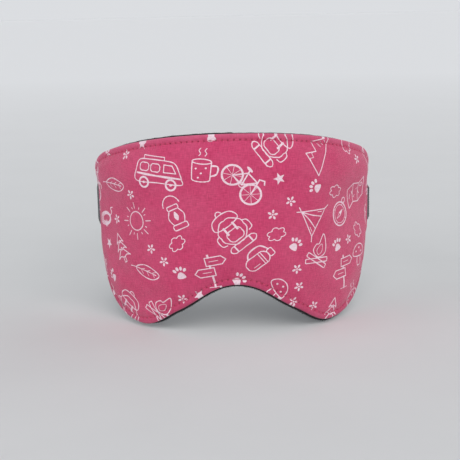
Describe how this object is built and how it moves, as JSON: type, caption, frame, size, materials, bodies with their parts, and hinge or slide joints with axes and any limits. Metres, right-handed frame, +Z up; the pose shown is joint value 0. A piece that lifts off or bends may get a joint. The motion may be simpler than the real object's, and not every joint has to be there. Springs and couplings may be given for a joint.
{
  "type": "sleep mask",
  "caption": "Padded sleep mask in pink printed cotton with a black lining, a nose notch and an adjustable elastic strap that closes the loop behind the head.",
  "frame": {"origin": "middle of the head loop in plan, at the height of the strap's centre line, where a head holds the mask", "axes": "+Z up, the wearer's face looks towards -Y, +X is to the right of somebody who looks at the mask from the front"},
  "size_m": [0.1863, 0.2117, 0.116],
  "materials": {
    "printed_cotton": "matte woven cotton with a fine white line print of camping things",
    "wadding_fibre": "loose white polyester wadding",
    "black_fleece": "soft short-pile fleece",
    "pink_thread": "twisted sewing thread",
    "black_thread": "twisted sewing thread",
    "black_elastic": "flat woven elastic with fine lengthwise ribs",
    "nickel": "nickel plate, satin"
  },
  "bodies": {
    "mask": {"front_panel": "printed_cotton", "wadding": "wadding_fibre", "lining_panel": "black_fleece", "needle_thread": "pink_thread", "bobbin_thread": "black_thread", "strap_elastic": "black_elastic", "strap_tail": "black_elastic", "ring_tab": "black_elastic"},
    "ring": {"adjuster_ring": "nickel"},
    "slider": {"adjuster_slider": "nickel", "strap_end_loop": "black_elastic", "loop_stitch": "black_thread"}
  },
  "joints": [
    {"name": "strap_adjust", "type": "slide", "parent": "mask", "child": "slider", "axis": [-0.0523, -0.9986, 0], "range_m": [0, 0.026], "deforming": ["strap_tail"]},
    {"name": "ring_swivel", "type": "hinge", "parent": "mask", "child": "ring", "pos_m": [0.08546, -0.01743, 0], "axis": [0, 0, 1], "range_deg": [-4, 4]}
  ]
}
